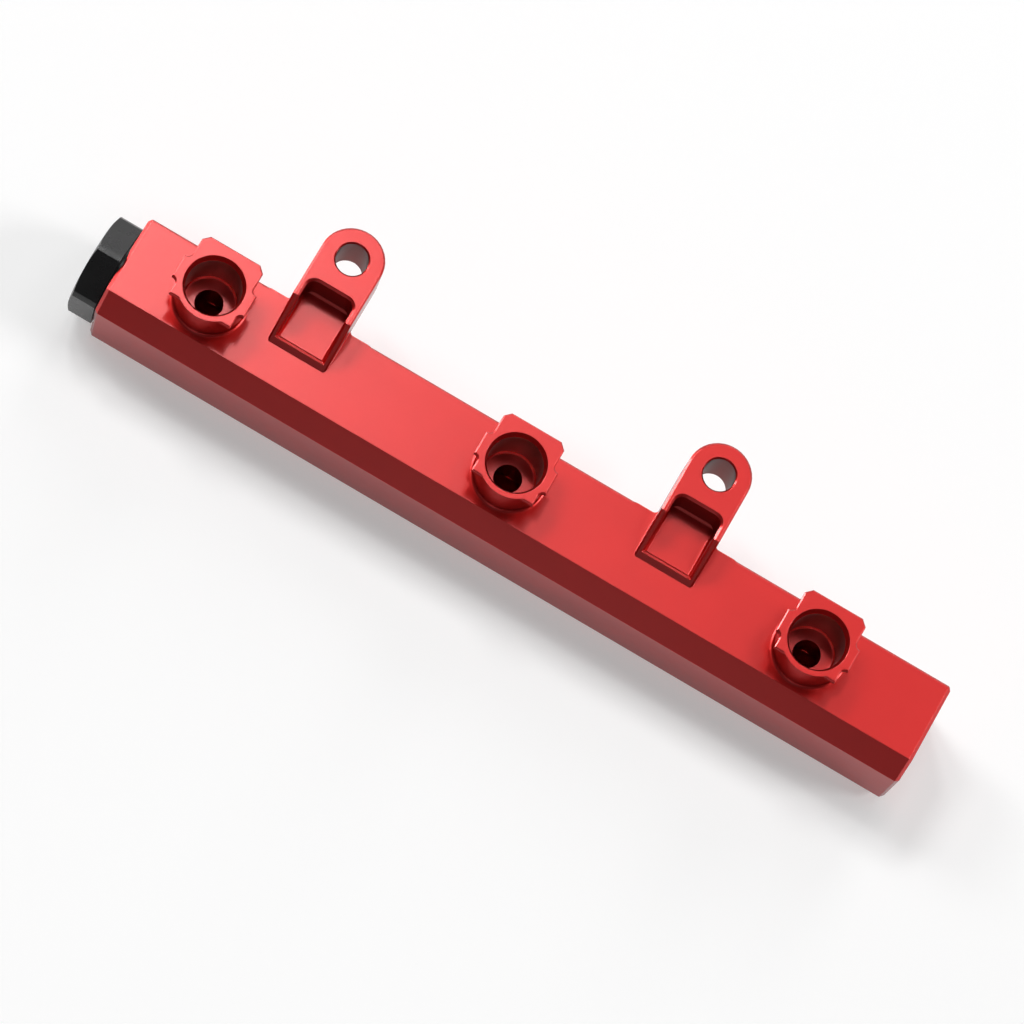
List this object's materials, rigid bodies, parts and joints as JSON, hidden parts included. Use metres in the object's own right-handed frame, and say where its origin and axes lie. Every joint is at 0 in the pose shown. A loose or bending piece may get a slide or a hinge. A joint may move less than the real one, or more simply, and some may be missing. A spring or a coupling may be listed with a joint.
{
  "type": "fuel rail",
  "caption": "Anodised aluminium fuel rail: a bevelled bar with injector cups on its top face, mounting tabs behind it, a hexagon plug in one end and a threaded inlet port in the other.",
  "frame": {"origin": "on the underside of the rail, below the axis of the middle injector cup", "axes": "+X along the rail, from the plugged end to the inlet port; +Y towards the mounting tabs; +Z the way the cups open"},
  "size_m": [0.2356, 0.0484, 0.038],
  "materials": {
    "rail": "red anodised, satin",
    "plug": "black anodised, satin",
    "o_ring": "matt black nitrile"
  },
  "bodies": {
    "root": {"rail_body": "rail", "port_plug": "plug", "plug_o_ring": "o_ring"}
  },
  "joints": []
}
